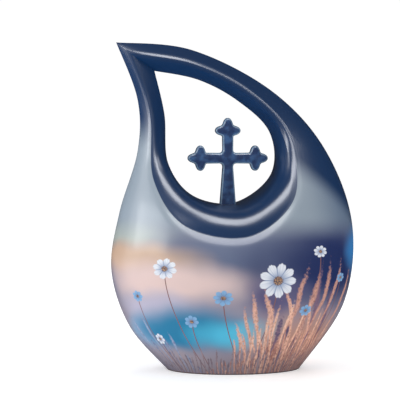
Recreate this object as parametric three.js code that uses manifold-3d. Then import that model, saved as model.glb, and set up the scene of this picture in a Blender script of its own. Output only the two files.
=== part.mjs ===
// Funeral urn: a hollow drop with a drop-shaped opening, a budded cross in it and a filler plug below.
import * as THREE from 'three';
import { mergeVertices } from 'three/addons/utils/BufferGeometryUtils.js';
import Module from 'manifold-3d';

// Driving dimensions in millimetres: X to the right, Y to the back, Z up, underside on Z = 0.
// Points are [x, z] in the front view, and a smooth curve runs through each row of them.
const TIP = [-100, 278];
const LEFT_EDGE = [[-57, 0], [-89, 37], [-104.5, 85], [-97.5, 134], [-82, 186], [-82, 230], TIP];
const RIGHT_EDGE = [[57, 0], [95.5, 56], [102.5, 124], [78, 189], [32, 238], [-36, 272], TIP];

// The rim is the front edge of the ring round the opening, and the waist is its narrowest line, at Y = 0.
const RIM_TIP = [-88, 268];
const RIM = [
  RIM_TIP, [-37, 260], [10.5, 236], [43, 199.5], [45.5, 148],
  [6.5, 116.5], [-45, 124.5], [-69.5, 162], [-72, 219], RIM_TIP,
];
const WAIST_TIP = [-67.5, 254];
const WAIST = [
  WAIST_TIP, [-30, 246.5], [4, 228.5], [31, 202], [33.5, 165.5],
  [3, 141.5], [-35.5, 148.5], [-56, 175.5], [-59, 217], WAIST_TIP,
];
// Points are [half depth, z] of the drop as it would be with no opening.
const HALF_DEPTH = [[41, 0], [54, 40], [62, 92], [52, 140], [37, 180], [24, 225], [15, 260], [8, 279]];
// Middle of the opening, which every section of the ring passes through.
const HUB = new THREE.Vector2(-11, 187);

// Below SHOULDER_TOP the belly's shoulder dips to the rim, and the ring's lip turns from a bevel to a roll.
const SHOULDER_TOP = 176;
const SHOULDER_LOW = 124;
const SHOULDER_DIP = 2;
const SHOULDER_WIDTH = 8;
const LIP_ROUND_TOP = 225;
const BEVEL_POWER = 1.15;
const ROLL_POWER = 3.2;
// Between these heights of the rim the limbs' outer faces turn from round to nearly flat.
const FLAT_LOW = 185;
const FLAT_TOP = 235;
const FLAT_POWER = 0.95;

const WALL = 4;
const FLOOR = 7;
const CAVITY_TOP = 165;
const GAP = 0.3;

const CROSS_CENTRE = [-5, 180];
const CROSS_DEPTH = 9;
const CROSS_EDGE = 2.2;
const ARM_HALF = 4.5;
const ARM_REACH = 23.5;
const BUD_RADIUS = 8.8;
const BUD_LOBE = 2;
const BUD_SWEEP = THREE.MathUtils.degToRad(137);
const BUD_STEPS = 28;
const CROSS_FILLET = 3;
const FOOT_HALF = 7.2;
const FOOT_DROP = 44;

const PLUG_RADIUS = 21.5;
const PLUG_RISE = 10;
const FLANGE_RADIUS = 25.5;
const FLANGE_THICK = 3;
const FLANGE_INSET = 0.6;
const PLUG_CLEARANCE = 0.4;
const SLOT = [34, 3.5, 1.6];
const ROUND_STEPS = 48;

// How many sections go round each stretch of the outline, and how many points each section takes.
const FINE = { right: 42, base: 12, left: 28, shoulder: 4, face: 8, lip: 6 };
const COARSE = { right: 28, base: 8, left: 18, shoulder: 3, face: 4, lip: 4 };

const NAVY = 0x1b3a68;
const MEADOW = 0x8f9cb8;
const BARE_METAL = 0xb9bcc0;

const manifold = await Module();
manifold.setup();

const curveThrough = (points) => new THREE.SplineCurve(points.map(([x, z]) => new THREE.Vector2(x, z)));
const leftEdge = curveThrough(LEFT_EDGE);
const rightEdge = curveThrough(RIGHT_EDGE);
const depthEdge = curveThrough(HALF_DEPTH);
const rim = curveThrough(RIM);
const waist = curveThrough(WAIST);

// The point of a curve at which a measure that grows along it reaches a value.
function pointWhere(curve, measure, value) {
  let low = 0;
  let high = 1;
  for (let halving = 0; halving < 40; halving += 1) {
    const middle = (low + high) / 2;
    if (measure(curve.getPoint(middle)) < value) {
      low = middle;
    } else {
      high = middle;
    }
  }
  return curve.getPoint(low);
}

const atHeight = (curve, z) => pointWhere(curve, (point) => point.y, z).x;

// Half depth of the whole drop at a point of the front view: each level slice is an ellipse.
function dropDepth({ x, y: z }) {
  const left = atHeight(leftEdge, z);
  const right = atHeight(rightEdge, z);
  const across = (2 * x - left - right) / (right - left);
  return atHeight(depthEdge, z) * Math.sqrt(Math.max(0, 1 - across ** 2));
}

const compass = ([x, z]) => Math.atan2(z - HUB.y, x - HUB.x);
const clockwise = (from, to) => THREE.MathUtils.euclideanModulo(from - to, 2 * Math.PI);

// Where a loop that starts at its tip is met by the ray turned clockwise from that tip.
function onLoop(curve, tip, turn) {
  if (turn === 0) {
    return new THREE.Vector2(...tip);
  }
  return pointWhere(curve, (point) => clockwise(compass(tip), compass(point.toArray())), turn);
}

// Where the outline, with its straight base, is met by such a ray.
function onOutline(turn) {
  const baseRight = clockwise(compass(TIP), compass(RIGHT_EDGE[0]));
  const baseLeft = clockwise(compass(TIP), compass(LEFT_EDGE[0]));
  if (turn >= baseRight && turn <= baseLeft) {
    const angle = compass(TIP) - turn;
    return new THREE.Vector2(HUB.x - HUB.y / Math.tan(angle), 0);
  }
  const side = turn < baseRight ? RIGHT_EDGE.toReversed() : LEFT_EDGE;
  return onLoop(curveThrough(side), TIP, turn);
}

// The turns of all sections: even steps up both sides, and even steps round the base's half ellipse.
function sectionTurns({ right, base, left }) {
  const turnTo = (point) => clockwise(compass(TIP), compass(point));
  const evenly = (steps, place) => Array.from({ length: steps }, (_, step) => place(step / steps));
  const [baseRight, baseLeft] = [RIGHT_EDGE[0], LEFT_EDGE[0]];
  return [
    ...evenly(right, (part) => turnTo(baseRight) * part),
    ...evenly(base, (part) => turnTo([
      THREE.MathUtils.lerp(baseLeft[0], baseRight[0], (1 + Math.cos(Math.PI * part)) / 2), 0])),
    ...evenly(left, (part) => THREE.MathUtils.lerp(turnTo(baseLeft), 2 * Math.PI, part)),
  ];
}

// One closed section through the ring: front face, lip, waist and the same again mirrored behind.
function section(turn, { shoulder, face, lip }) {
  const edge = onOutline(turn);
  const crest = onLoop(rim, RIM_TIP, turn);
  const inner = onLoop(waist, WAIST_TIP, turn);
  const low = 1 - THREE.MathUtils.smoothstep(crest.y, SHOULDER_LOW, SHOULDER_TOP);
  const power = THREE.MathUtils.lerp(ROLL_POWER, BEVEL_POWER, THREE.MathUtils.smoothstep(
    crest.y, SHOULDER_LOW, LIP_ROUND_TOP));
  const flatness = THREE.MathUtils.smoothstep(crest.y, FLAT_LOW, FLAT_TOP);
  const share = Math.min(SHOULDER_WIDTH / edge.distanceTo(crest), 0.4);
  const crestDepth = dropDepth(crest) - low * SHOULDER_DIP;
  const frontPoint = (flat, depth) => new THREE.Vector3(flat.x, -depth, flat.y);

  const facePoint = (along) => {
    const flat = crest.clone().lerp(edge, along);
    const onSide = along === 1 && edge.y > 0;
    const dip = low * SHOULDER_DIP * Math.max(0, 1 - along / share) ** 2;
    const rounded = onSide ? 0 : dropDepth(flat) - dip;
    const flattened = crestDepth * (1 - along) ** FLAT_POWER;
    return frontPoint(flat, THREE.MathUtils.lerp(rounded, flattened, flatness));
  };
  const lipPoint = (swing) => {
    const flat = crest.clone().lerp(inner, Math.cos(swing) ** (2 / power));
    return frontPoint(flat, crestDepth * Math.sin(swing) ** (2 / power));
  };

  const front = [];
  for (let step = 0; step < face; step += 1) {
    front.push(facePoint(share + (1 - share) * (1 - (step / face) ** 2)));
  }
  for (let step = shoulder; step > 0; step -= 1) {
    front.push(facePoint(share * step / shoulder));
  }
  for (let step = 0; step < lip; step += 1) {
    front.push(lipPoint(Math.PI / 2 * (1 - step / lip)));
  }
  const back = front.map((point) => point.clone().setY(-point.y)).reverse();
  return [...front, frontPoint(inner, 0), ...back];
}

// Joins equal points and leaves out the faces that this closes up.
function welded(geometry) {
  geometry.deleteAttribute('normal');
  geometry.deleteAttribute('uv');
  const joined = mergeVertices(geometry, 1e-3);
  const index = joined.index.array;
  const kept = [];
  for (let i = 0; i < index.length; i += 3) {
    const [a, b, c] = index.slice(i, i + 3);
    if (a !== b && b !== c && c !== a) {
      kept.push(a, b, c);
    }
  }
  joined.setIndex(kept);
  return joined;
}

// The closed skin of the drop with its opening.
function skin(fineness) {
  const loops = sectionTurns(fineness).map((turn) => section(turn, fineness));
  const across = loops[0].length;
  const faces = [];
  loops.forEach((_, i) => {
    const here = i * across;
    const next = ((i + 1) % loops.length) * across;
    for (let j = 0; j < across; j += 1) {
      const k = (j + 1) % across;
      faces.push(here + j, next + k, next + j, here + j, here + k, next + k);
    }
  });
  const geometry = new THREE.BufferGeometry().setFromPoints(loops.flat());
  geometry.setIndex(faces);
  return welded(geometry);
}

// The same skin moved inwards by a wall's thickness.
function insetSkin(fineness, wall) {
  const geometry = skin(fineness);
  geometry.computeVertexNormals();
  const { position, normal } = geometry.attributes;
  for (let i = 0; i < position.count; i += 1) {
    const point = new THREE.Vector3().fromBufferAttribute(position, i);
    const outward = new THREE.Vector3().fromBufferAttribute(normal, i);
    position.setXYZ(i, ...point.addScaledVector(outward, -wall));
  }
  return geometry;
}

function toSolid(geometry) {
  const joined = welded(geometry);
  return new manifold.Manifold(new manifold.Mesh({
    numProp: 3,
    vertProperties: new Float32Array(joined.attributes.position.array),
    triVerts: new Uint32Array(joined.index.array),
  }));
}

function toGeometry(solid) {
  const mesh = solid.getMesh();
  const geometry = new THREE.BufferGeometry();
  geometry.setAttribute('position', new THREE.BufferAttribute(mesh.vertProperties, 3));
  geometry.setIndex(new THREE.BufferAttribute(mesh.triVerts, 1));
  return geometry;
}

function upright(radius, bottom, top) {
  const geometry = new THREE.CylinderGeometry(radius, radius, top - bottom, ROUND_STEPS);
  return geometry.rotateX(Math.PI / 2).translate(0, 0, (top + bottom) / 2);
}

function block(size, centre) {
  return new THREE.BoxGeometry(...size).translate(...centre);
}

// Hollow body: the skin less its cavity and the stepped filler hole.
function bodyGeometry(outside) {
  const reach = 300;
  const belly = block([reach, reach, CAVITY_TOP - FLOOR], [0, 0, (CAVITY_TOP + FLOOR) / 2]);
  const cavity = toSolid(insetSkin(COARSE, WALL)).intersect(toSolid(belly));
  const neck = toSolid(upright(PLUG_RADIUS + PLUG_CLEARANCE, -1, FLOOR + 1));
  const seat = toSolid(upright(FLANGE_RADIUS + PLUG_CLEARANCE, -1, FLANGE_INSET + FLANGE_THICK + GAP));
  return toGeometry(outside.subtract(cavity).subtract(neck).subtract(seat));
}

// Outline of the cross about its crossing: three arms with four-lobed buds and a foot that widens downwards.
function crossShape() {
  const shape = new THREE.Shape();
  const lastCorner = new THREE.Vector2(-ARM_HALF, -ARM_HALF);
  shape.moveTo(-FOOT_HALF, -FOOT_DROP);
  shape.lineTo(FOOT_HALF, -FOOT_DROP);
  for (const quarter of [0, 1, 2]) {
    const turn = quarter * Math.PI / 2;
    const place = (x, y) => new THREE.Vector2(x, y).rotateAround(new THREE.Vector2(), turn);
    const before = place(ARM_HALF, -ARM_HALF - CROSS_FILLET);
    const corner = place(ARM_HALF, -ARM_HALF);
    const after = place(ARM_HALF + CROSS_FILLET, -ARM_HALF);
    shape.lineTo(before.x, before.y);
    shape.quadraticCurveTo(corner.x, corner.y, after.x, after.y);
    for (let step = 0; step <= BUD_STEPS; step += 1) {
      const angle = BUD_SWEEP * (2 * step / BUD_STEPS - 1);
      const radius = BUD_RADIUS + BUD_LOBE * Math.cos(4 * angle);
      const bud = place(ARM_REACH + radius * Math.cos(angle), radius * Math.sin(angle));
      shape.lineTo(bud.x, bud.y);
    }
  }
  shape.lineTo(lastCorner.x - CROSS_FILLET, lastCorner.y);
  shape.quadraticCurveTo(lastCorner.x, lastCorner.y, lastCorner.x, lastCorner.y - CROSS_FILLET);
  return shape;
}

// Cross standing in the opening, its foot shaped to the ring with a small gap.
function crossGeometry(outside) {
  const geometry = new THREE.ExtrudeGeometry(crossShape(), {
    depth: CROSS_DEPTH - 2 * CROSS_EDGE,
    bevelThickness: CROSS_EDGE,
    bevelSize: CROSS_EDGE,
    bevelOffset: -CROSS_EDGE,
    bevelSegments: 1,
    curveSegments: 3,
  });
  geometry.translate(0, 0, CROSS_EDGE - CROSS_DEPTH / 2).rotateX(Math.PI / 2);
  geometry.translate(CROSS_CENTRE[0], 0, CROSS_CENTRE[1]);
  return toGeometry(toSolid(geometry).subtract(outside.translate([0, 0, GAP])));
}

// Stopper with a flange in the underside and a slot to turn it by.
function plugGeometry() {
  const flangeTop = FLANGE_INSET + FLANGE_THICK;
  const profile = [
    [0, FLANGE_INSET], [FLANGE_RADIUS, FLANGE_INSET], [FLANGE_RADIUS, flangeTop],
    [PLUG_RADIUS, flangeTop], [PLUG_RADIUS, PLUG_RISE], [0, PLUG_RISE],
  ].map(([radius, height]) => new THREE.Vector2(radius, height));
  const turned = new THREE.LatheGeometry(profile, ROUND_STEPS).rotateX(Math.PI / 2);
  const slot = block(SLOT, [0, 0, FLANGE_INSET + SLOT[2] / 2 - 0.5]);
  return toGeometry(toSolid(turned).subtract(toSolid(slot)));
}

function piece(name, geometry, color, roughness, metalness) {
  const material = new THREE.MeshStandardMaterial({ color, roughness, metalness });
  const mesh = new THREE.Mesh(geometry, material);
  mesh.name = name;
  return mesh;
}

const outside = toSolid(skin(FINE));
const urn = new THREE.Group();
urn.add(
  piece('urn_body', bodyGeometry(outside), MEADOW, 0.2, 0),
  piece('cross', crossGeometry(outside), NAVY, 0.2, 0),
  piece('filler_plug', plugGeometry(), BARE_METAL, 0.4, 1),
);

export default urn;
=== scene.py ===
"""Looks of the funeral urn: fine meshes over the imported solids, lacquer and print, light and camera."""
import math

import bmesh
import bpy
import numpy as np
from mathutils import Color, Matrix, Vector


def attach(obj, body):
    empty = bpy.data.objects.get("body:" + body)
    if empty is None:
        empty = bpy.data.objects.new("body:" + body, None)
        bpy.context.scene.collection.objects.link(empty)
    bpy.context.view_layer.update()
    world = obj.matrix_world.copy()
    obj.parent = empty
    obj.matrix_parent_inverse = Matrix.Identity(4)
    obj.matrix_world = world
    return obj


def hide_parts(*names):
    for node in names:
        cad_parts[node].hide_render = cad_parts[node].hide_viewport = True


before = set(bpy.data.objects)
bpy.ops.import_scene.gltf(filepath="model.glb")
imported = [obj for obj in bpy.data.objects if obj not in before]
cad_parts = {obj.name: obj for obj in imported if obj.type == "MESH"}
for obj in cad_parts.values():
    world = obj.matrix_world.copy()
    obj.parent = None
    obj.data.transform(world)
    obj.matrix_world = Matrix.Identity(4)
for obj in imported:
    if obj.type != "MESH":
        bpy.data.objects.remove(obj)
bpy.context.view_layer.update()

# Driving dimensions in metres: X to the right, Y to the back, Z up, underside on Z = 0.
MM = 0.001

# Smooth curves of the front view, each through a row of (x, z) points that are given in millimetres.
TIP = (-100, 278)
LEFT_EDGE = ((-57, 0), (-89, 37), (-104.5, 85), (-97.5, 134), (-82, 186), (-82, 230), TIP)
RIGHT_EDGE = ((57, 0), (95.5, 56), (102.5, 124), (78, 189), (32, 238), (-36, 272), TIP)
RIM_TIP = (-88, 268)
RIM = (
    RIM_TIP, (-37, 260), (10.5, 236), (43, 199.5), (45.5, 148),
    (6.5, 116.5), (-45, 124.5), (-69.5, 162), (-72, 219), RIM_TIP,
)
WAIST_TIP = (-67.5, 254)
WAIST = (
    WAIST_TIP, (-30, 246.5), (4, 228.5), (31, 202), (33.5, 165.5),
    (3, 141.5), (-35.5, 148.5), (-56, 175.5), (-59, 217), WAIST_TIP,
)
# The drop as it would be with no opening, through (half depth, z) points in millimetres.
HALF_DEPTH = ((41, 0), (54, 40), (62, 92), (52, 140), (37, 180), (24, 225), (15, 260), (8, 279))
# The point that the sections round the ring are turned about.
HUB = np.array((-11, 187)) * MM

# Below these heights of the rim the face dips towards it, over a strip of at most this share of the face.
SHOULDER_TOP = 176 * MM
SHOULDER_LOW = 124 * MM
SHOULDER_DIP = 2 * MM
SHOULDER_WIDTH = 8 * MM
SHOULDER_SHARE = 0.4
# Up to this height of the rim the lip's section turns from a round roll to a bevel.
LIP_ROUND_TOP = 225 * MM
BEVEL_POWER = 1.15
ROLL_POWER = 3.2
# Between these heights of the rim the limbs' outer faces turn from round to nearly flat.
FLAT_LOW = 185 * MM
FLAT_TOP = 235 * MM
FLAT_POWER = 0.95
# How far the rounding at the rim reaches to each side: a share of the limb's face or lip, and at the collar.
RIDGE_SOFT_SHARE = 0.34
CREASE_SOFT = 1.5 * MM

# Sections up the right side, across the base and up the left side, and rows of points in each section.
RIGHT_STEPS = 190
BASE_STEPS = 48
LEFT_STEPS = 120
FACE_ROWS = 72
SOFT_ROWS = 8
LIP_ROWS = 28
# How sections crowd at the tip, as a power, and rows at both ends of the face, as a share.
TIP_CROWDING = 1.7
FACE_CROWDING = 0.6
# Points along each smooth curve and along the base line, from which the sections take theirs.
CURVE_STEPS = 4000
BASE_LINE_STEPS = 400
# Points closer than this are one point.
SAME_POINT = 1e-7
# Edges where faces meet at more than this angle are drawn sharp.
BODY_SHARP = math.radians(60)

CROSS_CENTRE = np.array((-5, 180)) * MM
CROSS_DEPTH = 9 * MM
CROSS_EDGE = 2.2 * MM
CROSS_EDGE_STEPS = 5
CROSS_SHARP = math.radians(35)
ARM_HALF = 4.5 * MM
ARM_REACH = 23.5 * MM
BUD_RADIUS = 8.8 * MM
BUD_LOBE = 2 * MM
BUD_LOBES = 4
BUD_SWEEP = math.radians(137)
BUD_STEPS = 120
CROSS_FILLET = 3 * MM
FILLET_STEPS = 8
FOOT_HALF = 7.2 * MM
FOOT_DROP = 44 * MM

PLUG_RADIUS = 21.5 * MM
PLUG_RISE = 10 * MM
FLANGE_RADIUS = 25.5 * MM
FLANGE_THICK = 3 * MM
FLANGE_INSET = 0.6 * MM
FLANGE_CHAMFER = 0.6 * MM
PLUG_CLEARANCE = 0.4 * MM
GROOVE_INSET = 2.2 * MM
GROOVE_WIDTH = 0.8 * MM
GROOVE_DEPTH = 0.4 * MM
# The cutters of the seat and of the slot reach this far below the face that they cut.
SEAT_OVERCUT = 1 * MM
SLOT = (34 * MM, 3.5 * MM, 1.6 * MM)
SLOT_OVERCUT = 0.5 * MM
ROUND_STEPS = 128
PLUG_SHARP = math.radians(30)

# Camera: turn about Z from straight in front, rise, distance from its aim, and lens in millimetres.
CAMERA_AZIMUTH = math.radians(-6)
CAMERA_ELEVATION = math.radians(2.5)
CAMERA_DISTANCE = 1.4
CAMERA_AIM = Vector((-0.0284, 0.003, 0.1442))
CAMERA_LENS = 147.4


def curve_through(points):
    """Dense points, in metres, of the smooth curve through points given in millimetres."""
    knots = np.array(points) * MM
    place = np.linspace(0, len(knots) - 1, CURVE_STEPS)
    start = np.minimum(place.astype(int), len(knots) - 2)
    part = (place - start)[:, None]
    before = knots[np.maximum(start - 1, 0)]
    here = knots[start]
    there = knots[start + 1]
    after = knots[np.minimum(start + 2, len(knots) - 1)]
    leave = (there - before) / 2
    reach = (after - here) / 2
    cubic = 2 * here - 2 * there + leave + reach
    square = -3 * here + 3 * there - 2 * leave - reach
    return ((cubic * part + square) * part + leave) * part + here


left_edge = curve_through(LEFT_EDGE)
right_edge = curve_through(RIGHT_EDGE)
half_depth = curve_through(HALF_DEPTH)


def smoothstep(value, low, high):
    """0 up to low and 1 from high on, with a smooth rise between."""
    part = np.clip((value - low) / (high - low), 0, 1)
    return part * part * (3 - 2 * part)


def drop_depth(flat):
    """Half depth of the whole drop at points of the front view: each level slice is an ellipse."""
    x, z = flat[..., 0], flat[..., 1]
    left = np.interp(z, left_edge[:, 1], left_edge[:, 0])
    right = np.interp(z, right_edge[:, 1], right_edge[:, 0])
    across = (2 * x - left - right) / (right - left)
    return np.interp(z, half_depth[:, 1], half_depth[:, 0]) * np.sqrt(np.maximum(0, 1 - across ** 2))


def turns_from(loop):
    """Clockwise turn about the hub of each point of a loop, from the loop's first point."""
    compass = np.arctan2(loop[:, 1] - HUB[1], loop[:, 0] - HUB[0])
    turn = np.mod(compass[0] - compass, 2 * math.pi)
    turn[0] = 0
    turn[-1] = 2 * math.pi
    return turn


def on_loop(loop, turns):
    """Points of a loop at the given turns about the hub."""
    measured = turns_from(loop)
    return np.stack([np.interp(turns, measured, loop[:, axis]) for axis in (0, 1)], axis=-1)


def outline_loop():
    """Outline of the front view, clockwise from the tip and back to it."""
    base = np.linspace(right_edge[0], left_edge[0], BASE_LINE_STEPS)[1:-1]
    return np.concatenate([right_edge[::-1], base, left_edge])


def section_turns(outline):
    """Turns of the sections: crowded at the tip, and even round the base's half ellipse."""
    right_corner = len(right_edge) - 1
    left_corner = len(outline) - len(left_edge)
    turn = turns_from(outline)
    climb = np.linspace(0, 1, RIGHT_STEPS, endpoint=False) ** TIP_CROWDING
    across = (1 + np.cos(np.linspace(0, math.pi, BASE_STEPS, endpoint=False))) / 2
    base_x = outline[left_corner, 0] + (outline[right_corner, 0] - outline[left_corner, 0]) * across
    compass = np.arctan2(-HUB[1], base_x - HUB[0])
    tip_compass = math.atan2(outline[0, 1] - HUB[1], outline[0, 0] - HUB[0])
    fall = 1 - np.linspace(1, 0, LEFT_STEPS, endpoint=False) ** TIP_CROWDING
    return np.concatenate([
        turn[right_corner] * climb,
        np.mod(tip_compass - compass, 2 * math.pi),
        turn[left_corner] + (2 * math.pi - turn[left_corner]) * fall,
    ])


def between(start, end, part):
    return start + (end - start) * np.asarray(part)[..., None]


def front_point(flat, depth):
    """Points of the front half from their places in the front view and their half depths."""
    return np.stack([flat[..., 0], -depth, flat[..., 1]], axis=-1)


def bend(start, corner, end, part):
    """The point at a part of the way along a curve from start to end that bends towards the corner."""
    return start * (1 - part) ** 2 + corner * 2 * part * (1 - part) + end * part ** 2


def body_rows():
    """Rows of the body's skin, each a loop of points round the ring, and whether each row is on the lip.

    From the outline inwards they run over the face, the rounding at the rim and the lip, then back behind.
    """
    outline = outline_loop()
    turns = section_turns(outline)
    edge = on_loop(outline, turns)
    crest = on_loop(curve_through(RIM), turns)
    inner = on_loop(curve_through(WAIST), turns)
    low = 1 - smoothstep(crest[:, 1], SHOULDER_LOW, SHOULDER_TOP)
    straight = smoothstep(crest[:, 1], SHOULDER_LOW, LIP_ROUND_TOP)
    flatness = smoothstep(crest[:, 1], FLAT_LOW, FLAT_TOP)
    power = ROLL_POWER + (BEVEL_POWER - ROLL_POWER) * straight
    length = np.linalg.norm(edge - crest, axis=1)
    share = np.minimum(SHOULDER_WIDTH / length, SHOULDER_SHARE)
    crest_depth = drop_depth(crest) - low * SHOULDER_DIP
    crest_point = front_point(crest, crest_depth)

    def face(along):
        flat = between(crest, edge, along)
        dip = low * SHOULDER_DIP * np.maximum(0, 1 - along / share) ** 2
        rounded = drop_depth(flat) - dip
        flattened = crest_depth * (1 - along) ** FLAT_POWER
        return front_point(flat, rounded + (flattened - rounded) * flatness)

    def lip(swing):
        flat = between(crest, inner, np.cos(swing) ** (2 / power))
        return front_point(flat, crest_depth * np.sin(swing) ** (2 / power))

    rows = []
    width = np.linalg.norm(inner - crest, axis=1)
    ridge_soft = RIDGE_SOFT_SHARE * np.minimum(length, width)
    soft = ridge_soft + (CREASE_SOFT - ridge_soft) * low
    face_start = soft / length
    for part in np.linspace(0, 1, FACE_ROWS, endpoint=False):
        crowded = (1 + math.cos(math.pi * part)) / 2
        spread = (1 - FACE_CROWDING) * (1 - part) + FACE_CROWDING * crowded
        rows.append(face(face_start + (1 - face_start) * spread))
    # Above the flat base the front and the back meet on the middle plane.
    rows[0][edge[:, 1] > SAME_POINT, 1] = 0
    lip_start = np.arccos((soft / width) ** (power / 2))
    face_end = face(face_start)
    lip_end = lip(lip_start)
    for part in np.linspace(0, 1, SOFT_ROWS, endpoint=False):
        rows.append(bend(face_end, crest_point, lip_end, part))
    for part in np.linspace(0, 1, LIP_ROWS, endpoint=False):
        rows.append(lip(lip_start * (1 - part)))
    waist_row = front_point(inner, np.zeros(len(inner)))
    mirror = np.array((1, -1, 1))
    lip_flags = [row >= FACE_ROWS + SOFT_ROWS // 2 for row in range(len(rows))]
    back_rows = [row * mirror for row in reversed(rows)]
    return rows + [waist_row] + back_rows, lip_flags + [True] + lip_flags[::-1]


def add_object(name, data):
    """A new object in the scene."""
    made = bpy.data.objects.new(name, data)
    bpy.context.scene.collection.objects.link(made)
    return made


def make_mesh(name, vertices, faces):
    mesh = bpy.data.meshes.new(name)
    mesh.from_pydata([tuple(vertex) for vertex in vertices], [], faces)
    return mesh


def add_piece(name, mesh):
    """A piece of the urn, on its one body."""
    piece = add_object(name, mesh)
    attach(piece, "root")
    return piece


def smooth_but_for_edges(piece, sharp):
    """Shades a piece smooth where its faces meet at less than the sharp angle."""
    piece.data.shade_smooth()
    piece.data.set_sharp_from_angle(angle=sharp)


def cut(piece, cutter):
    """Takes the cutter's form out of a piece."""
    modifier = piece.modifiers.new("cut", "BOOLEAN")
    modifier.object = cutter
    modifier.solver = "EXACT"
    old = piece.data
    evaluated = piece.evaluated_get(bpy.context.evaluated_depsgraph_get())
    piece.data = bpy.data.meshes.new_from_object(evaluated)
    piece.modifiers.clear()
    bpy.data.meshes.remove(old)


def join_equal_points(piece):
    form = bmesh.new()
    form.from_mesh(piece.data)
    bmesh.ops.remove_doubles(form, verts=form.verts, dist=SAME_POINT)
    form.to_mesh(piece.data)
    form.free()


def lathe(profile):
    """Vertices and faces of a turned form about Z, from (radius, height) points between two on the axis."""
    angles = np.linspace(0, 2 * math.pi, ROUND_STEPS, endpoint=False)
    vertices = [(radius * math.cos(angle), radius * math.sin(angle), height)
                for radius, height in profile[1:-1] for angle in angles]
    vertices += [(0, 0, profile[0][1]), (0, 0, profile[-1][1])]
    low, high = len(vertices) - 2, len(vertices) - 1
    top = (len(profile) - 3) * ROUND_STEPS
    faces = []
    for i in range(ROUND_STEPS):
        k = (i + 1) % ROUND_STEPS
        faces.append((low, k, i))
        faces.append((high, top + i, top + k))
        for ring in range(0, top, ROUND_STEPS):
            faces.append((ring + i, ring + k, ring + ROUND_STEPS + k, ring + ROUND_STEPS + i))
    return vertices, faces


def seat_cutter():
    """The hollow in the underside that holds the plug with a clearance all round."""
    seat_radius = FLANGE_RADIUS + PLUG_CLEARANCE
    seat_top = FLANGE_INSET + FLANGE_THICK + PLUG_CLEARANCE
    neck_radius = PLUG_RADIUS + PLUG_CLEARANCE
    neck_top = PLUG_RISE + PLUG_CLEARANCE
    return add_object("seat", make_mesh("seat", *lathe((
        (0, -SEAT_OVERCUT), (seat_radius, -SEAT_OVERCUT), (seat_radius, seat_top),
        (neck_radius, seat_top), (neck_radius, neck_top), (0, neck_top),
    ))))


def make_body():
    """The urn's skin as one closed form, with the hollow for the plug in its underside."""
    rows, on_lip = body_rows()
    grid = np.stack(rows, axis=1)
    count, across = grid.shape[:2]
    faces = []
    for i in range(count):
        here = i * across
        there = (i + 1) % count * across
        for j in range(across):
            k = (j + 1) % across
            faces.append((here + j, here + k, there + k, there + j))
    piece = add_piece("urn_shell", make_mesh("urn_shell", grid.reshape(-1, 3), faces))
    lip = piece.data.attributes.new("lip", "FLOAT", "POINT")
    lip.data.foreach_set("value", np.tile(np.array(on_lip, np.float32), count))
    join_equal_points(piece)
    seat = seat_cutter()
    cut(piece, seat)
    bpy.data.objects.remove(seat)
    smooth_but_for_edges(piece, BODY_SHARP)
    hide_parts("urn_body")
    return piece


def cross_outline():
    """Outline of the cross about its crossing: three arms with four-lobed buds, and a foot that widens."""
    sweep = np.linspace(-BUD_SWEEP, BUD_SWEEP, BUD_STEPS)
    radius = BUD_RADIUS + BUD_LOBE * np.cos(BUD_LOBES * sweep)
    bud = np.stack([ARM_REACH + radius * np.cos(sweep), radius * np.sin(sweep)], axis=1)
    along = np.array((CROSS_FILLET, 0))
    aside = np.array((0, CROSS_FILLET))
    fillet = np.linspace(0, 1, FILLET_STEPS)[:, None]
    corner = np.array((ARM_HALF, -ARM_HALF))
    arm = np.concatenate([bend(corner - aside, corner, corner + along, fillet), bud])
    points = [np.array(((-FOOT_HALF, -FOOT_DROP), (FOOT_HALF, -FOOT_DROP)))]
    for quarter in range(3):
        angle = quarter * math.pi / 2
        cosine, sine = math.cos(angle), math.sin(angle)
        points.append(arm @ np.array(((cosine, sine), (-sine, cosine))))
    last = np.array((-ARM_HALF, -ARM_HALF))
    points.append(bend(last - along, last, last - aside, fillet))
    return np.concatenate(points)


def make_cross(urn):
    """The budded cross with rounded edges, cut at its foot to the urn's collar."""
    outline = cross_outline()
    curve = bpy.data.curves.new("cross_outline", "CURVE")
    curve.dimensions = "2D"
    curve.fill_mode = "BOTH"
    curve.extrude = CROSS_DEPTH / 2 - CROSS_EDGE
    curve.bevel_depth = CROSS_EDGE
    curve.bevel_resolution = CROSS_EDGE_STEPS
    curve.offset = -CROSS_EDGE
    spline = curve.splines.new("POLY")
    spline.points.add(len(outline) - 1)
    spline.points.foreach_set("co", np.pad(outline, ((0, 0), (0, 2))).ravel())
    spline.use_cyclic_u = True
    form = add_object("cross_form", curve)
    mesh = bpy.data.meshes.new_from_object(form.evaluated_get(bpy.context.evaluated_depsgraph_get()))
    bpy.data.objects.remove(form)
    upright = Matrix.Rotation(math.pi / 2, 4, "X")
    mesh.transform(Matrix.Translation((CROSS_CENTRE[0], 0, CROSS_CENTRE[1])) @ upright)
    piece = add_piece("budded_cross", mesh)
    join_equal_points(piece)
    cut(piece, urn)
    smooth_but_for_edges(piece, CROSS_SHARP)
    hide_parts("cross")
    return piece


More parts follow.
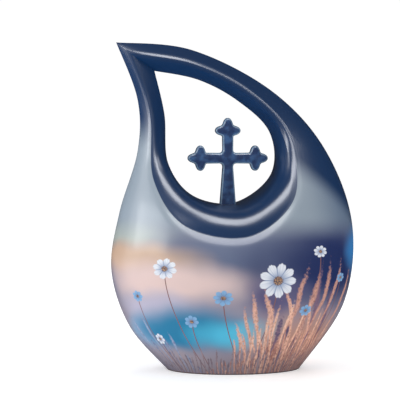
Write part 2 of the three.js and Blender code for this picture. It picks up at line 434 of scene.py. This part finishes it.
def make_plug():
    """The turned plug: a flange with a groove and a slot in its face, and a neck above it."""
    rim = FLANGE_RADIUS - FLANGE_CHAMFER
    groove = rim - GROOVE_INSET
    face = FLANGE_INSET
    shoulder = FLANGE_INSET + FLANGE_THICK
    piece = add_piece("turned_plug", make_mesh("turned_plug", *lathe((
        (0, face),
        (groove - GROOVE_WIDTH, face), (groove - GROOVE_WIDTH / 2, face + GROOVE_DEPTH), (groove, face),
        (rim, face), (FLANGE_RADIUS, face + FLANGE_CHAMFER), (FLANGE_RADIUS, shoulder),
        (PLUG_RADIUS, shoulder), (PLUG_RADIUS, PLUG_RISE), (0, PLUG_RISE),
    ))))
    bpy.ops.mesh.primitive_cube_add(size=1)
    slot = bpy.context.object
    slot.scale = SLOT
    slot.location.z = face + SLOT[2] / 2 - SLOT_OVERCUT
    bpy.context.view_layer.update()
    cut(piece, slot)
    bpy.data.objects.remove(slot)
    smooth_but_for_edges(piece, PLUG_SHARP)
    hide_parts("filler_plug")
    return piece


def paint(red, green, blue):
    """A colour given as it looks on screen, 0 to 255."""
    screen = Color((red / 255, green / 255, blue / 255))
    return (*screen.from_srgb_to_scene_linear(), 1)


# Below, waves are counted in a metre, and a fade's pair of values is where it starts and where it is full.

# Slight waves of the cast metal under its lacquer: how many, how much finer detail, and how high.
CAST_WAVES = 60.0
CAST_DETAIL = 3.0
CAST_UNEVEN = 0.008 * MM

# The urn's lacquer from the ring down.
NAVY = paint(14, 52, 96)
MIST = paint(142, 157, 172)
DARK_MIST = paint(100, 120, 146)
SLATE = paint(104, 112, 140)
GROUND = paint(150, 144, 162)
# Painted shade: the colour the print darkens to towards the foot.
PAINTED_FOOT_SHADE = paint(92, 78, 84)
UNDERSIDE = paint(52, 46, 54)
PRINT_ROUGHNESS = 0.48
NAVY_ROUGHNESS = 0.29
GRAIN_WAVES = 220.0
GRAIN_ROUGHNESS = 0.04
URN_COAT = 0.35
URN_COAT_ROUGHNESS = 0.2

# Print coordinates: along the front, wrapped to both sides, and up. The front starts at the middle plane.
WRAP_RADIUS = 100 * MM
WRAP_DEPTH_SHARE = 1.65
FRONT_FADE = (0.0, -5 * MM)

# Heights where painted shade darkens the foot, the print fades into the mist, and the mist into the navy of
# the ring.
PAINTED_SHADE_HEIGHTS = (30 * MM, 0.0)
# How dark the painted shade at the foot gets, as a share.
PAINTED_SHADE_SHARE = 0.5
UNDERSIDE_FADE = (1.5 * MM, 0.0)
SLATE_FADE = (50 * MM, 100 * MM)
MIST_FADE = (110 * MM, 134 * MM)
NAVY_FADE = (166 * MM, 198 * MM)
# The navy reaches lower to the right, by a slope and by a drop between two places along the print.
NAVY_TILT = 0.13
NAVY_FALL = (70 * MM, 150 * MM)
NAVY_DROP = 36 * MM
# The mist is darker to the right, between two places along the print.
MIST_SHADE = (62 * MM, 118 * MM)
# The lip is navy all over: the mark of its points fades in between these values.
LIP_FADE = (0.3, 0.7)

# Broad soft areas of the printed meadow: centre and reach in millimetres along and up the print, colour.
SOFT_AREAS = (
    ((0, 106), (80, 20), paint(94, 108, 142)),
    ((-118, 120), (64, 24), paint(164, 174, 170)),
    ((-104, 96), (90, 20), paint(196, 164, 140)),
    ((-62, 77), (104, 24), paint(224, 198, 194)),
    ((-84, 56), (64, 18), paint(184, 180, 202)),
    ((-104, 36), (50, 20), paint(150, 176, 208)),
    ((84, 92), (104, 54), paint(0, 38, 104)),
    ((30, 66), (34, 24), paint(92, 86, 130)),
    ((152, 106), (46, 32), paint(20, 130, 204)),
    ((-54, 38), (92, 24), paint(0, 126, 172)),
    ((-2, 35), (54, 16), paint(66, 190, 226)),
    ((-76, 12), (70, 16), paint(170, 158, 168)),
    ((64, 24), (88, 36), paint(184, 138, 122)),
)
# Where an area fades in, as shares of its reach, and the waves along and up that bend its edges.
AREA_FADE = (1.05, 0.25)
AREA_WAVES = 16.0
AREA_WAVER = (60 * MM, 22 * MM, 0)

WHITE_PETAL = paint(232, 236, 244)
BLUE_PETAL = paint(128, 178, 222)
# Blossoms on the front: centre along and up the print and radius in millimetres, petals, turn in radians,
# height as a share of the width, and the colour of its petals.
BLOSSOMS = (
    ((30, 80), 17, 9, 0.2, 0.88, WHITE_PETAL),
    ((-66, 90), 12, 8, 0.9, 0.75, WHITE_PETAL),
    ((-16, 66), 9, 8, 0.5, 0.75, BLUE_PETAL),
    ((-100, 66), 7, 7, 0.1, 0.7, BLUE_PETAL),
    ((72, 103), 8, 8, 1.2, 0.65, WHITE_PETAL),
    ((103, 80), 7, 7, 0.3, 0.6, BLUE_PETAL),
    ((-46, 46), 7, 7, 0.4, 0.8, BLUE_PETAL),
    ((62, 54), 7, 7, 0.9, 0.7, BLUE_PETAL),
    ((-88, 30), 6, 7, 0.6, 0.8, WHITE_PETAL),
)
# Sizes in a blossom are shares of its radius, and a power below 1 makes its petals blunt.
PETAL_REACH = 0.9
PETAL_SPLIT = 0.34
PETAL_BLUNT = 0.6
PETAL_RAGGED = 0.2
PETAL_EDGE = (1.0, 0.92)
PETAL_ROOT = paint(104, 132, 178)
# A petal pales from its sides to its middle and from its root outwards, in streaks counted in a radian.
SIDE_FADE = (-0.1, 0.4)
ROOT_FADE = (0.0, 0.75)
STREAK_WAVES = 9.0
STREAK_ALONG = 0.12
STREAK_LIGHT = 0.9
STREAK_SHADE = 0.45
# The heart of a blossom has a ragged edge and two tones of grain.
FLOWER_HEART = paint(196, 150, 104)
HEART_SHADE = paint(90, 74, 88)
HEART_EDGE = (0.4, 0.3)
HEART_WAVES = 1000.0
HEART_RAGGED = 0.2
HEART_TONE = (0.4, 0.65)
# A stem fades in across its half width and stands aside on the ground by a share of its height.
STEM = paint(136, 92, 92)
STEM_EDGE = (0.65 * MM, 0.26 * MM)
STEM_END = (1.0, 0.98)
STEM_SWAY = 0.3

# Layers of grass: middle and reach along the print, tallest plume and spacing, all in millimetres, lean,
# dark and pale colour, and the seed of its chances.
GRASSES_BEHIND = (
    ((62, 62), 92, 15, 0.05, paint(70, 64, 108), paint(132, 100, 124), 3),
    ((-100, 72), 50, 9, -0.2, paint(92, 108, 150), paint(160, 174, 204), 11),
)
GRASSES_BEFORE = (
    ((70, 75), 96, 13, 0.24, paint(140, 92, 90), paint(220, 162, 142), 5),
    ((52, 70), 74, 10, -0.22, paint(156, 102, 94), paint(240, 184, 160), 7),
    ((66, 90), 62, 6.5, 0.1, paint(170, 112, 98), paint(248, 200, 174), 6),
    ((54, 100), 44, 5, -0.1, paint(162, 104, 92), paint(236, 176, 150), 8),
    ((0, 160), 24, 5, 0.15, paint(100, 90, 110), paint(160, 138, 146), 9),
)
# Waves that bend a row of grass sideways, and the step between the layers' own waves.
GRASS_WAVES = 22.0
GRASS_WAVE_DETAIL = 1.0
GRASS_WAVER = 16 * MM
GRASS_WAVE_STEP = 0.1
# Heights of the grass: lower towards the ends of a row, and the shortest share and size of all.
ROW_FADE = (1.0, 0.3)
SHORTEST_SHARE = 0.35
SHORTEST = 1 * MM
# Sizes across are shares of the spacing, and sizes up are shares of the grass's own height.
STALK_STRAY = 0.24
STALK_CURL = 0.4
STALK_TAPER = 0.1
STALK_EDGE = (0.2, 0.12)
STALK_END = (0.9, 0.86)
# Half widths of a plume in the spacing, half lengths in the height, and half lengths up to its middle.
PLUME_WIDTHS = 4.0
PLUME_LENGTHS = 3.4
PLUME_MIDDLE = 2.6
PLUME_WAVES = 420.0
PLUME_DETAIL = 3.0
PLUME_RAGGED = 1.6
PLUME_EDGE = (1.9, 1.3)
GROWTH_TONE = 0.3
TONE_FADE = (0.4, 0.9)
GRASS_COVER = 0.9

# The cross: mottled navy, with a painted highlight paler where its surface turns from the front or back to
# the sides.
CROSS_NAVY = paint(20, 54, 106)
CROSS_BLUE = paint(52, 96, 150)
CROSS_EDGE_HIGHLIGHT = paint(140, 170, 196)
MOTTLE_WAVES = 160.0
MOTTLE_FADE = (0.35, 0.7)
FACE_TO_EDGE = (0.98, 0.8)
SIDE_TO_EDGE = (0.1, 0.5)
LEAST_EDGE_HIGHLIGHT = 0.5
MOTTLE_EDGE_HIGHLIGHT = 0.6
CROSS_ROUGHNESS = (0.3, 0.4)
CROSS_COAT = 0.2
CROSS_COAT_ROUGHNESS = 0.16

# The plug's bare metal, with the fine rings of a lathe.
DARK_METAL = paint(150, 152, 156)
PALE_METAL = paint(196, 198, 202)
RING_WAVES = 2500.0
RING_DETAIL = 4.0
METAL_ROUGHNESS = (0.28, 0.45)

# Brightness of the plain white sky as seen, as a light and in the gloss.
WHITE = (1, 1, 1, 1)
SKY_SEEN = 1.02
SKY_LIGHT = 0.8
SKY_IN_GLOSS = 0.03

# The floor: half its width, two tones of white and a glow of its own.
FLOOR_REACH = 20
FLOOR_DARK = paint(236, 236, 237)
FLOOR_PALE = paint(242, 242, 242)
FLOOR_WAVES = 3.0
FLOOR_ROUGHNESS = 0.6
FLOOR_GLOW = 0.35

# Softboxes: name, place, aim, size, watts, whether it lights surfaces and whether it shines in their gloss.
BELLY = (0, 0, 0.13)
LEFT_RIDGE = (-0.08, 0, 0.22)
SOFTBOXES = (
    ("top_light", (0.0, -0.7, 1.04), BELLY, (0.55, 0.85), 16, False, True),
    ("left_light", (-1.1, -0.1, 0.35), BELLY, (0.5, 0.9), 4, True, True),
    ("right_light", (0.6, -0.5, 0.98), BELLY, (0.4, 0.4), 3, False, True),
    ("ridge_light", (-1.0, -0.5, 0.46), LEFT_RIDGE, (0.8, 0.3), 8, False, True),
    ("back_light", (0.5, 1.1, 0.9), BELLY, (0.8, 0.6), 4, True, False),
)


class Graph:
    """Short calls for the nodes of one material: most give back an output socket."""

    def __init__(self, name):
        self.material = bpy.data.materials.new(name)
        self.material.use_nodes = True
        self.tree = self.material.node_tree
        self.shader = self.tree.nodes["Principled BSDF"]

    def feed(self, socket, value):
        if isinstance(value, bpy.types.NodeSocket):
            self.tree.links.new(value, socket)
        else:
            socket.default_value = value

    def node(self, kind, inputs, output=0, **settings):
        made = self.tree.nodes.new("ShaderNode" + kind)
        for key, value in settings.items():
            setattr(made, key, value)
        for key, value in inputs.items():
            self.feed(made.inputs[key], value)
        return made.outputs[output]

    def math(self, operation, *values):
        return self.node("Math", dict(enumerate(values)), operation=operation)

    def fade(self, value, low, high):
        """0 up to low and 1 from high on, with a smooth rise between; low may be the greater one."""
        inputs = {"Value": value, "From Min": low, "From Max": high}
        return self.node("MapRange", inputs, interpolation_type="SMOOTHSTEP")

    def span(self, value, low, high):
        """Low where the value is 0, high where it is 1, and evenly between."""
        return self.node("MapRange", {"Value": value, "To Min": low, "To Max": high})

    def mix(self, part, under, over):
        """A colour laid over another in part, through the mix node's sockets for colours."""
        return self.node("Mix", {0: part, 6: under, 7: over}, output=2, data_type="RGBA")

    def noise(self, vector, scale, detail=2.0, output="Fac"):
        return self.node("TexNoise", {"Vector": vector, "Scale": scale, "Detail": detail}, output=output)

    def position(self):
        return self.node("TexCoord", {}, output="Object")

    def parts(self, vector):
        """The three parts of a vector."""
        split = self.tree.nodes.new("ShaderNodeSeparateXYZ")
        self.feed(split.inputs[0], vector)
        return split.outputs

    def length(self, vector):
        return self.node("VectorMath", {0: vector}, output="Value", operation="LENGTH")

    def uneven(self, position):
        """The slight waves of a cast and polished surface under its lacquer."""
        wave = self.noise(position, CAST_WAVES, CAST_DETAIL)
        return self.node("Bump", {"Height": wave, "Strength": 1.0, "Distance": CAST_UNEVEN})

    def coat(self, weight, roughness):
        self.shader.inputs["Coat Weight"].default_value = weight
        self.shader.inputs["Coat Roughness"].default_value = roughness


def print_place(graph):
    """Place on the print: a vector of the way round and the height, both alone, and the front's share."""
    x, y, z = graph.parts(graph.position())
    depth = graph.math("MULTIPLY", graph.math("ABSOLUTE", y), WRAP_DEPTH_SHARE)
    around = graph.math("MULTIPLY", graph.math("ARCTAN2", x, depth), WRAP_RADIUS)
    front = graph.fade(y, *FRONT_FADE)
    return graph.node("CombineXYZ", {0: around, 1: z}), around, z, front


def from_centre(graph, place, centre, size):
    """Way from a centre on the print, counted in a size along and a size up; both are in millimetres."""
    scale = (1 / (size[0] * MM), 1 / (size[1] * MM), 0)
    offset = (-centre[0] / size[0], -centre[1] / size[1], 0)
    return graph.node("VectorMath", {0: place, 1: scale, 2: offset}, operation="MULTIPLY_ADD")


def soft_meadow(graph, place, height):
    """Out-of-focus colours of the meadow, in areas with wavering edges."""
    warp = graph.noise(place, AREA_WAVES, output="Color")
    half_back = tuple(-part / 2 for part in AREA_WAVER)
    shift = graph.node("VectorMath", {0: warp, 1: AREA_WAVER, 2: half_back}, operation="MULTIPLY_ADD")
    place = graph.node("VectorMath", {0: place, 1: shift}, operation="ADD")
    colour = graph.mix(graph.fade(height, *SLATE_FADE), GROUND, SLATE)
    for centre, size, patch in SOFT_AREAS:
        away = graph.length(from_centre(graph, place, centre, size))
        colour = graph.mix(graph.fade(away, *AREA_FADE), colour, patch)
    return colour


def grass(graph, around, height, colour, layer):
    """Lays a row of grasses with feathery plumes, each of its own height, lean and tone, over a colour."""
    (middle, reach), tall, spacing, lean, dark, pale, seed = layer
    own_place = graph.node("CombineXYZ", {0: around, 1: height, 2: GRASS_WAVE_STEP * seed})
    waver = graph.noise(own_place, GRASS_WAVES, GRASS_WAVE_DETAIL)
    wavering = graph.math("MULTIPLY_ADD", waver, GRASS_WAVER, around)
    leaning = graph.math("MULTIPLY_ADD", height, -lean, wavering)
    row = graph.math("DIVIDE", leaning, spacing * MM)
    cell = graph.math("FLOOR", row)
    # The added half keeps the chances of a cell clear of rounding.
    number = graph.math("ADD", cell, seed + 0.5)
    chance = graph.node("TexWhiteNoise", {"W": number}, output="Color", noise_dimensions="1D")
    stray, droop, growth = graph.parts(chance)
    from_middle = graph.math("ABSOLUTE", graph.math("MULTIPLY_ADD", cell, spacing / reach, -middle / reach))
    grown = graph.math("MULTIPLY_ADD", growth, 1 - SHORTEST_SHARE, SHORTEST_SHARE)
    share = graph.math("MULTIPLY", graph.fade(from_middle, *ROW_FADE), grown)
    top = graph.math("MAXIMUM", graph.math("MULTIPLY", share, tall * MM), SHORTEST)
    rise = graph.math("DIVIDE", height, top)
    curl = graph.math("MULTIPLY", graph.math("SUBTRACT", droop, 0.5), graph.math("MULTIPLY", rise, rise))
    strayed = graph.math("MULTIPLY_ADD", stray, STALK_STRAY, (1 - STALK_STRAY) / 2)
    side = graph.math("SUBTRACT", row, graph.math("ADD", cell, strayed))
    side = graph.math("ABSOLUTE", graph.math("MULTIPLY_ADD", curl, -STALK_CURL, side))
    stalk = graph.fade(graph.math("MULTIPLY_ADD", rise, STALK_TAPER, side), *STALK_EDGE)
    stalk = graph.math("MULTIPLY", stalk, graph.fade(rise, *STALK_END))
    grain = graph.noise(graph.node("CombineXYZ", {0: around, 1: height}), PLUME_WAVES, PLUME_DETAIL)
    plume_side = graph.math("MULTIPLY", side, PLUME_WIDTHS)
    plume_rise = graph.math("MULTIPLY_ADD", rise, PLUME_LENGTHS, -PLUME_MIDDLE)
    away = graph.length(graph.node("CombineXYZ", {0: plume_side, 1: plume_rise}))
    plume = graph.fade(graph.math("MULTIPLY_ADD", grain, PLUME_RAGGED, away), *PLUME_EDGE)
    light = graph.math("ADD", grain, graph.math("MULTIPLY", growth, GROWTH_TONE))
    tone = graph.mix(graph.fade(light, *TONE_FADE), dark, pale)
    cover = graph.math("MULTIPLY", graph.math("MAXIMUM", stalk, plume), GRASS_COVER)
    return graph.mix(cover, colour, tone)


def stem(graph, around, height, front, colour, blossom):
    """Lays the stem of a blossom over a colour: it starts aside on the ground and straightens up."""
    middle, top = blossom[0]
    rise = graph.math("DIVIDE", height, top * MM)
    sway = STEM_SWAY * top * MM * (1 if middle < 0 else -1)
    bow = graph.math("MULTIPLY", graph.math("POWER", graph.math("SUBTRACT", 1.0, rise), 2.0), sway)
    away = graph.math("ABSOLUTE", graph.math("SUBTRACT", graph.math("SUBTRACT", around, middle * MM), bow))
    line = graph.math("MULTIPLY", graph.fade(away, *STEM_EDGE), graph.fade(rise, *STEM_END))
    return graph.mix(graph.math("MULTIPLY", line, front), colour, STEM)


def flower(graph, place, front, colour, blossom):
    """Lays a blossom of broad streaked petals with a grainy heart over a colour."""
    centre, radius, petals, turn, tilt, petal_colour = blossom
    inside = from_centre(graph, place, centre, (radius, radius * tilt))
    along, up, _ = graph.parts(inside)
    angle = graph.math("ARCTAN2", up, along)
    away = graph.length(inside)
    streak_place = graph.node("CombineXYZ", {0: angle, 1: graph.math("MULTIPLY", away, STREAK_ALONG)})
    streak = graph.noise(streak_place, STREAK_WAVES)
    wave = graph.math("ABSOLUTE", graph.math("COSINE", graph.math("MULTIPLY_ADD", angle, petals / 2, turn)))
    blunt = graph.math("POWER", wave, PETAL_BLUNT)
    reach = graph.math("MULTIPLY_ADD", blunt, PETAL_SPLIT, PETAL_REACH - PETAL_SPLIT)
    reach = graph.math("MULTIPLY_ADD", streak, PETAL_RAGGED, reach)
    petal = graph.fade(graph.math("DIVIDE", away, reach), *PETAL_EDGE)
    light = graph.math("MULTIPLY", graph.fade(wave, *SIDE_FADE), graph.fade(away, *ROOT_FADE))
    light = graph.math("MULTIPLY", light, graph.math("MULTIPLY_ADD", streak, STREAK_LIGHT, STREAK_SHADE))
    tone = graph.mix(light, PETAL_ROOT, petal_colour)
    colour = graph.mix(graph.math("MULTIPLY", petal, front), colour, tone)
    grain = graph.noise(place, HEART_WAVES)
    heart = graph.fade(graph.math("MULTIPLY_ADD", grain, HEART_RAGGED, away), *HEART_EDGE)
    speckle = graph.mix(graph.fade(grain, *HEART_TONE), HEART_SHADE, FLOWER_HEART)
    return graph.mix(graph.math("MULTIPLY", heart, front), colour, speckle)


def meadow_print(graph, place, around, height, front):
    """The printed meadow: soft colours, then grasses, stems, nearer grasses and blossoms laid over them."""
    colour = soft_meadow(graph, place, height)
    for layer in GRASSES_BEHIND:
        colour = grass(graph, around, height, colour, layer)
    for blossom in BLOSSOMS:
        colour = stem(graph, around, height, front, colour, blossom)
    for layer in GRASSES_BEFORE:
        colour = grass(graph, around, height, colour, layer)
    for blossom in BLOSSOMS:
        colour = flower(graph, place, front, colour, blossom)
    return colour


def lacquer():
    """Gloss lacquer: navy on the ring, fading down the limbs through mist to a meadow print on the belly,
    with painted shade towards the foot.
    """
    graph = Graph("body_lacquer")
    place, around, height, front = print_place(graph)
    colour = meadow_print(graph, place, around, height, front)
    # Painted shade, darkening the print towards the foot.
    foot_painted_shade = graph.math("MULTIPLY", graph.fade(height, *PAINTED_SHADE_HEIGHTS), PAINTED_SHADE_SHARE)
    colour = graph.mix(foot_painted_shade, colour, PAINTED_FOOT_SHADE)
    colour = graph.mix(graph.fade(height, *UNDERSIDE_FADE), colour, UNDERSIDE)
    mist = graph.mix(graph.fade(around, *MIST_SHADE), MIST, DARK_MIST)
    colour = graph.mix(graph.fade(height, *MIST_FADE), colour, mist)
    tilted = graph.math("MULTIPLY_ADD", around, NAVY_TILT, height)
    tilted = graph.math("MULTIPLY_ADD", graph.fade(around, *NAVY_FALL), NAVY_DROP, tilted)
    lip = graph.node("Attribute", {}, output="Fac", attribute_name="lip")
    navy_share = graph.math("MAXIMUM", graph.fade(tilted, *NAVY_FADE), graph.fade(lip, *LIP_FADE))
    colour = graph.mix(navy_share, colour, NAVY)
    shader = graph.shader.inputs
    graph.feed(shader["Base Color"], colour)
    position = graph.position()
    satin = graph.span(navy_share, PRINT_ROUGHNESS, NAVY_ROUGHNESS)
    grain = graph.noise(position, GRAIN_WAVES)
    graph.feed(shader["Roughness"], graph.math("MULTIPLY_ADD", grain, GRAIN_ROUGHNESS, satin))
    graph.feed(shader["Normal"], graph.uneven(position))
    graph.coat(URN_COAT, URN_COAT_ROUGHNESS)
    return graph.material


def navy_lacquer():
    """Mottled navy, with a painted highlight paler along the rounded edges."""
    graph = Graph("cross_lacquer")
    position = graph.position()
    cloud = graph.noise(position, MOTTLE_WAVES)
    mottled = graph.mix(graph.fade(cloud, *MOTTLE_FADE), CROSS_NAVY, CROSS_BLUE)
    facing = graph.parts(graph.node("TexCoord", {}, output="Normal"))
    turned = graph.math("ABSOLUTE", facing["Y"])
    edge = graph.math("MULTIPLY", graph.fade(turned, *FACE_TO_EDGE), graph.fade(turned, *SIDE_TO_EDGE))
    # Painted highlight along the rounded edges, patchy with the mottling.
    edge_highlight = graph.math("MULTIPLY", edge, graph.math("MULTIPLY_ADD", cloud, MOTTLE_EDGE_HIGHLIGHT, LEAST_EDGE_HIGHLIGHT))
    shader = graph.shader.inputs
    graph.feed(shader["Base Color"], graph.mix(edge_highlight, mottled, CROSS_EDGE_HIGHLIGHT))
    graph.feed(shader["Roughness"], graph.span(graph.noise(position, GRAIN_WAVES), *CROSS_ROUGHNESS))
    graph.feed(shader["Normal"], graph.uneven(position))
    graph.coat(CROSS_COAT, CROSS_COAT_ROUGHNESS)
    return graph.material


def turned_metal():
    """Bare metal with fine rings about the plug's middle."""
    graph = Graph("plug_metal")
    level = graph.node("VectorMath", {0: graph.position(), 1: (1, 1, 0)}, operation="MULTIPLY")
    rings = graph.noise(graph.node("CombineXYZ", {0: graph.length(level)}), RING_WAVES, RING_DETAIL)
    shader = graph.shader.inputs
    graph.feed(shader["Base Color"], graph.mix(rings, DARK_METAL, PALE_METAL))
    graph.feed(shader["Roughness"], graph.span(rings, *METAL_ROUGHNESS))
    shader["Metallic"].default_value = 1
    return graph.material


def pale_floor():
    """A dull white that glows a little, with no mirror image of the urn in it."""
    graph = Graph("pale_floor")
    cloud = graph.noise(graph.position(), FLOOR_WAVES)
    shader = graph.shader.inputs
    graph.feed(shader["Base Color"], graph.mix(cloud, FLOOR_DARK, FLOOR_PALE))
    shader["Roughness"].default_value = FLOOR_ROUGHNESS
    shader["Specular IOR Level"].default_value = 0
    shader["Emission Color"].default_value = WHITE
    shader["Emission Strength"].default_value = FLOOR_GLOW
    return graph.material


def softbox(name, place, aim, size, power, lights, shines):
    """A rectangular lamp that lights the surfaces, shines back from their gloss, or both."""
    light = bpy.data.lights.new(name, "AREA")
    light.shape = "RECTANGLE"
    light.size, light.size_y = size
    light.energy = power
    box = add_object(name, light)
    box.location = place
    box.rotation_mode = "QUATERNION"
    box.rotation_quaternion = (Vector(aim) - Vector(place)).to_track_quat("-Z", "Y")
    box.visible_diffuse = lights
    box.visible_glossy = shines


def light_sky():
    """A plain white sky, with its own brightness for the camera, for the light and for the gloss."""
    world = bpy.data.worlds.new("studio")
    bpy.context.scene.world = world
    world.use_nodes = True
    nodes = world.node_tree.nodes
    links = world.node_tree.links
    path = nodes.new("ShaderNodeLightPath")
    seen = nodes.new("ShaderNodeMix")
    seen.inputs["A"].default_value = SKY_LIGHT
    seen.inputs["B"].default_value = SKY_SEEN
    links.new(path.outputs["Is Camera Ray"], seen.inputs["Factor"])
    mirrored = nodes.new("ShaderNodeMix")
    mirrored.inputs["B"].default_value = SKY_IN_GLOSS
    links.new(seen.outputs["Result"], mirrored.inputs["A"])
    links.new(path.outputs["Is Glossy Ray"], mirrored.inputs["Factor"])
    sky = nodes["Background"]
    sky.inputs["Color"].default_value = WHITE
    links.new(mirrored.outputs["Result"], sky.inputs["Strength"])


def lay_floor():
    """A wide floor at the height of the underside, left out of the gloss."""
    far = FLOOR_REACH
    corners = [(-far, -far, 0), (far, -far, 0), (far, far, 0), (-far, far, 0)]
    floor = add_object("floor", make_mesh("floor", corners, [(0, 1, 2, 3)]))
    floor.data.materials.append(pale_floor())
    floor.visible_glossy = False


def light_studio():
    """Softboxes above, to both sides and behind, with a white sky and a pale floor."""
    for lamp in SOFTBOXES:
        softbox(*lamp)
    light_sky()
    lay_floor()
    bpy.context.scene.view_settings.view_transform = "Standard"


def place_camera():
    camera = add_object("camera", bpy.data.cameras.new("camera"))
    back = Vector((
        math.sin(CAMERA_AZIMUTH) * math.cos(CAMERA_ELEVATION),
        -math.cos(CAMERA_AZIMUTH) * math.cos(CAMERA_ELEVATION),
        math.sin(CAMERA_ELEVATION),
    ))
    camera.location = CAMERA_AIM + back * CAMERA_DISTANCE
    camera.rotation_mode = "QUATERNION"
    camera.rotation_quaternion = (-back).to_track_quat("-Z", "Y")
    camera.data.lens = CAMERA_LENS
    bpy.context.scene.camera = camera


body = make_body()
cross = make_cross(body)
plug = make_plug()
for piece, material in ((body, lacquer()), (cross, navy_lacquer()), (plug, turned_metal())):
    piece.data.materials.clear()
    piece.data.materials.append(material)
light_studio()
place_camera()
